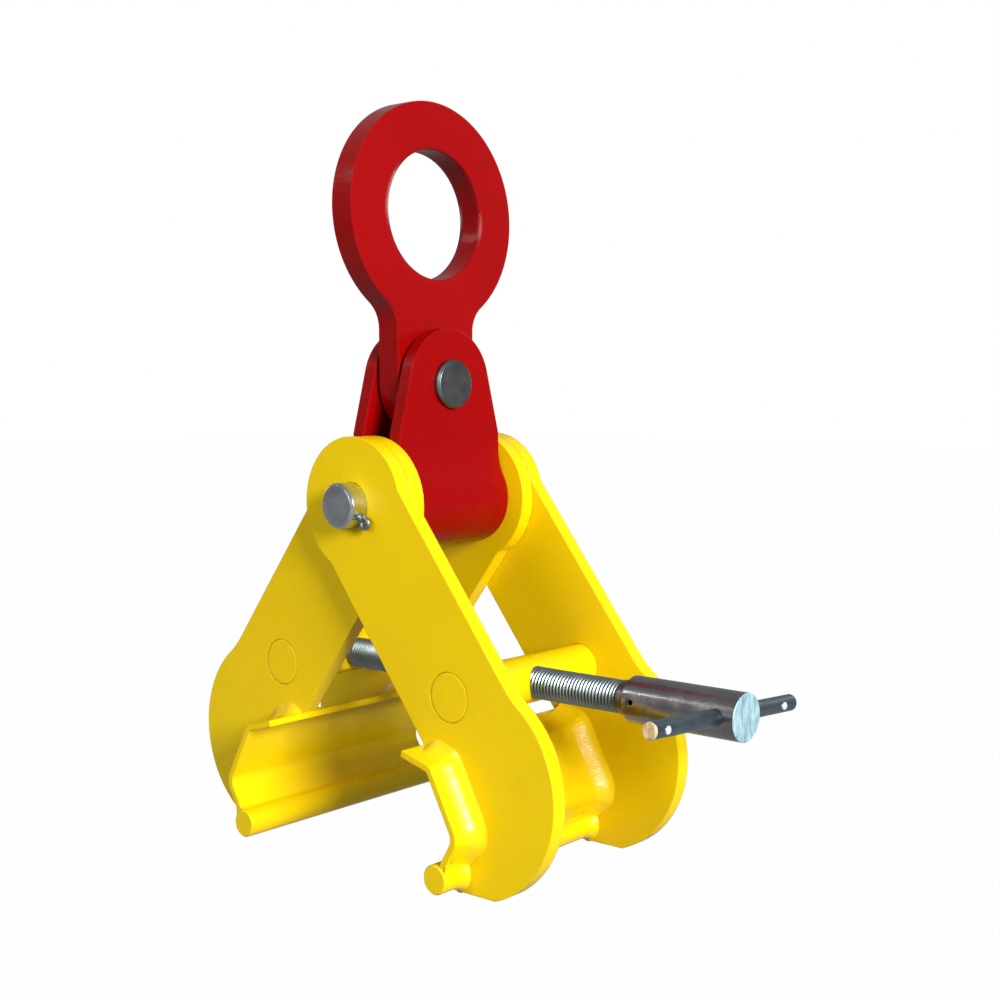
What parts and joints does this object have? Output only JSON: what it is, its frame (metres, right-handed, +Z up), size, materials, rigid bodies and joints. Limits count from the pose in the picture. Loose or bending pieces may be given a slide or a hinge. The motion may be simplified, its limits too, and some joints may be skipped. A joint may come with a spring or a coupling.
{
  "type": "rail lifting clamp",
  "caption": "Scissor clamp that grips the head of a railway rail for lifting: swivelling eye in a clevis, paired jaw plates with bent channels, drawn shut by a hand screw.",
  "frame": {"origin": "centre of the lifting hole in the eye", "axes": "+Z up, +X along the screw towards its handle and along the lifting hole's axis, +Y along the main pin towards its head"},
  "size_m": [0.4094, 0.168, 0.4772],
  "materials": {
    "red_paint": "gloss red enamel on cut steel plate",
    "yellow_paint": "gloss yellow enamel on cut and welded steel plate",
    "bare_steel": "turned steel pins, bare",
    "zinc_steel": "bright zinc plating",
    "turned_steel": "turned dark steel bar, oiled"
  },
  "bodies": {
    "eye": {"lifting_eye": "red_paint"},
    "clevis": {"clevis_boss": "red_paint", "clevis_front_ear": "red_paint", "clevis_rear_ear": "red_paint", "clevis_welds": "red_paint", "eye_pin": "bare_steel", "eye_pin_washer": "zinc_steel", "eye_pin_split_pin": "zinc_steel"},
    "pivot": {"main_pin": "bare_steel", "main_pin_split_pin": "zinc_steel"},
    "right_jaw": {"right_plate_front": "yellow_paint", "right_plate_rear": "yellow_paint", "right_jaw_channel": "yellow_paint", "right_jaw_rod": "yellow_paint", "right_jaw_welds": "yellow_paint"},
    "left_jaw": {"left_plate_front": "yellow_paint", "left_plate_rear": "yellow_paint", "left_jaw_channel": "yellow_paint", "left_jaw_rod": "yellow_paint", "left_jaw_welds": "yellow_paint"},
    "right_trunnion": {"right_trunnion": "yellow_paint"},
    "left_trunnion": {"left_trunnion": "yellow_paint"},
    "screw": {"spindle": "zinc_steel", "spindle_washer": "zinc_steel", "spindle_lock_nut": "zinc_steel", "handle_sleeve": "turned_steel", "sleeve_pin": "turned_steel"},
    "tommy_bar": {"tommy_bar": "turned_steel", "tommy_bar_stops": "turned_steel"}
  },
  "joints": [
    {"name": "eye_swing", "type": "hinge", "parent": "eye", "child": "clevis", "pos_m": [0, 0, -0.1065], "axis": [1, 0, 0], "range_deg": [-55, 55]},
    {"name": "clamp_swing", "type": "hinge", "parent": "clevis", "child": "pivot", "pos_m": [0, 0, -0.181], "axis": [0, 1, 0], "range_deg": [-65, 65]},
    {"name": "jaw_close", "type": "hinge", "parent": "pivot", "child": "right_jaw", "pos_m": [0, 0, -0.181], "axis": [0, 1, 0], "range_deg": [-12, 19.5]},
    {"name": "left_jaw_close", "type": "hinge", "parent": "pivot", "child": "left_jaw", "pos_m": [0, 0, -0.181], "axis": [0, 1, 0], "range_deg": [-19.5, 12]},
    {"name": "right_trunnion_turn", "type": "hinge", "parent": "right_jaw", "child": "right_trunnion", "pos_m": [0.0818, 0, -0.29], "axis": [0, 1, 0], "range_deg": [-19.5, 12]},
    {"name": "left_trunnion_turn", "type": "hinge", "parent": "left_jaw", "child": "left_trunnion", "pos_m": [-0.0818, 0, -0.29], "axis": [0, 1, 0], "range_deg": [-12, 19.5]},
    {"name": "screw_turn", "type": "hinge", "parent": "left_trunnion", "child": "screw", "pos_m": [0.0818, 0, -0.29], "axis": [1, 0, 0], "continuous": true},
    {"name": "tommy_bar_slide", "type": "slide", "parent": "screw", "child": "tommy_bar", "axis": [0, 0.9976, -0.0698], "range_m": [-0.036, 0.049]}
  ],
  "couplings": [
    {"joint": "left_jaw_close", "follows": "jaw_close", "ratio": -1},
    {"joint": "right_trunnion_turn", "follows": "jaw_close", "ratio": -1},
    {"joint": "left_trunnion_turn", "follows": "jaw_close", "ratio": 1}
  ]
}
